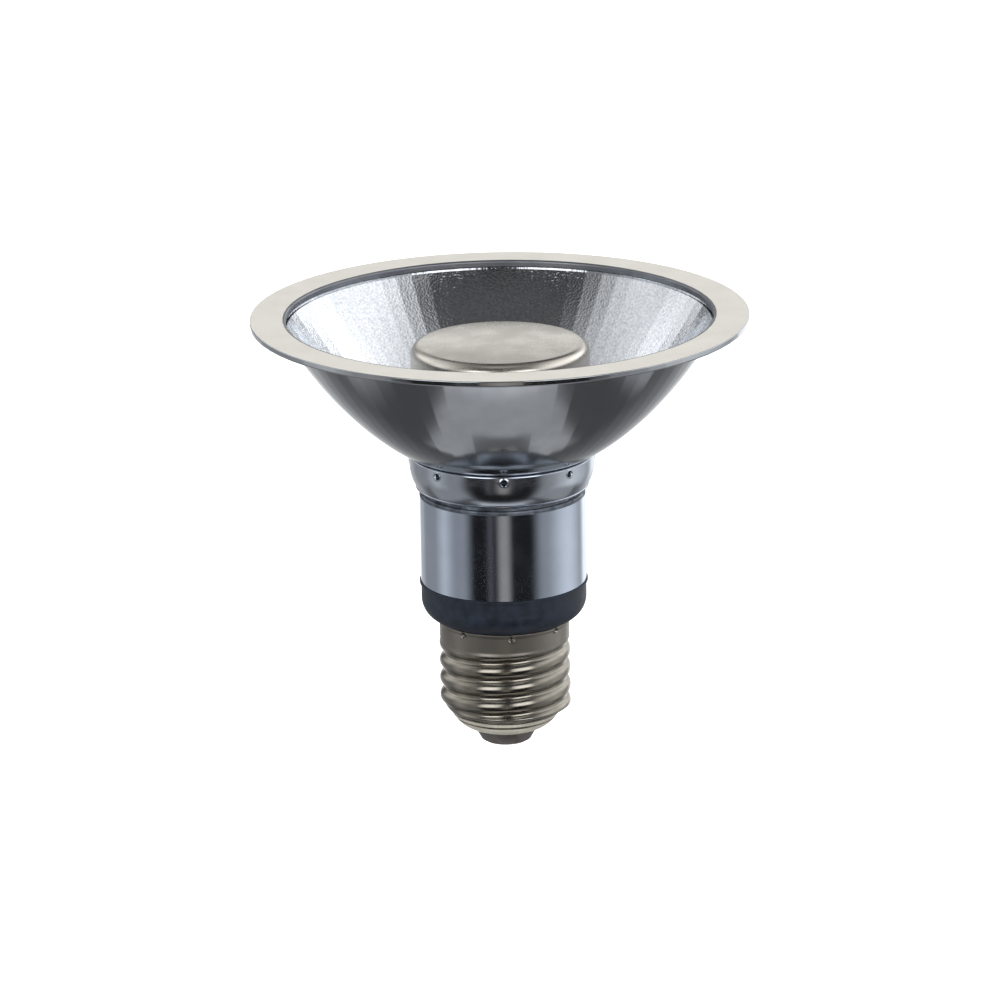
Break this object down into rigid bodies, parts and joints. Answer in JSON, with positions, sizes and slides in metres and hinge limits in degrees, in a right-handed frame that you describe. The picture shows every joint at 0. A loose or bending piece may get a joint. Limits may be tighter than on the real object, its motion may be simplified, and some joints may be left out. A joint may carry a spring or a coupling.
{
  "type": "reflector spot lamp",
  "caption": "Screw-cap reflector spot lamp: fluted aluminium bowl with a flat rim, a capped light source in its middle, a polished can and an insulating ring over the cap.",
  "frame": {"origin": "centre of the contact's flat face, at the lamp's foot", "axes": "+Z along the lamp's axis, from the contact to the rim; the lamp's front is -Y"},
  "size_m": [0.0984, 0.0984, 0.088],
  "materials": {
    "spun_aluminium": "spun and polished, fluted and hammered inside",
    "polished_can": "drawn and polished",
    "cap_aluminium": "pressed, satin",
    "post_aluminium": "turned and milled",
    "housing_plastic": "moulded, matt",
    "nickel_shell": "nickel plated, rolled",
    "dark_glass": "smooth, dark",
    "contact_metal": "tinned",
    "fastener_steel": "zinc plated",
    "opal_diffuser": "opal",
    "light_board": "white solder mask on aluminium",
    "light_source": "phosphor under clear resin",
    "circuit_board": "green solder mask",
    "capacitor_sleeve": "shrunk sleeve",
    "film_capacitor_case": "moulded case",
    "ferrite": "sintered",
    "winding_tape": "taped copper winding",
    "choke_body": "shrunk sleeve",
    "component_resin": "moulded resin",
    "resistor_lacquer": "lacquered",
    "red_insulation": "extruded",
    "black_insulation": "extruded",
    "brown_insulation": "extruded",
    "blue_insulation": "extruded"
  },
  "bodies": {
    "root": {"reflector_bowl": "spun_aluminium", "collar_ring": "polished_can", "housing_can": "polished_can", "glare_cap": "cap_aluminium", "led_post": "post_aluminium", "driver_housing": "housing_plastic", "driver_cover": "housing_plastic", "screw_shell": "nickel_shell", "base_insulator": "dark_glass", "centre_contact": "contact_metal", "cap_stud": "fastener_steel", "post_screws": "fastener_steel", "diffuser_ring": "opal_diffuser", "led_board_1": "light_board", "led_board_2": "light_board", "led_board_3": "light_board", "led_board_4": "light_board", "led_board_5": "light_board", "led_board_6": "light_board", "led_1": "light_source", "led_2": "light_source", "led_3": "light_source", "led_4": "light_source", "led_5": "light_source", "led_6": "light_source", "led_7": "light_source", "led_8": "light_source", "led_9": "light_source", "led_10": "light_source", "led_11": "light_source", "led_12": "light_source", "driver_board": "circuit_board", "electrolytic_capacitor": "capacitor_sleeve", "film_capacitor": "film_capacitor_case", "transformer_core": "ferrite", "transformer_winding": "winding_tape", "choke": "choke_body", "rectifier_bridge": "component_resin", "controller_chip": "component_resin", "fuse_resistor": "resistor_lacquer", "led_lead_positive": "red_insulation", "led_lead_negative": "black_insulation", "live_lead": "brown_insulation", "neutral_lead": "blue_insulation"}
  },
  "joints": []
}
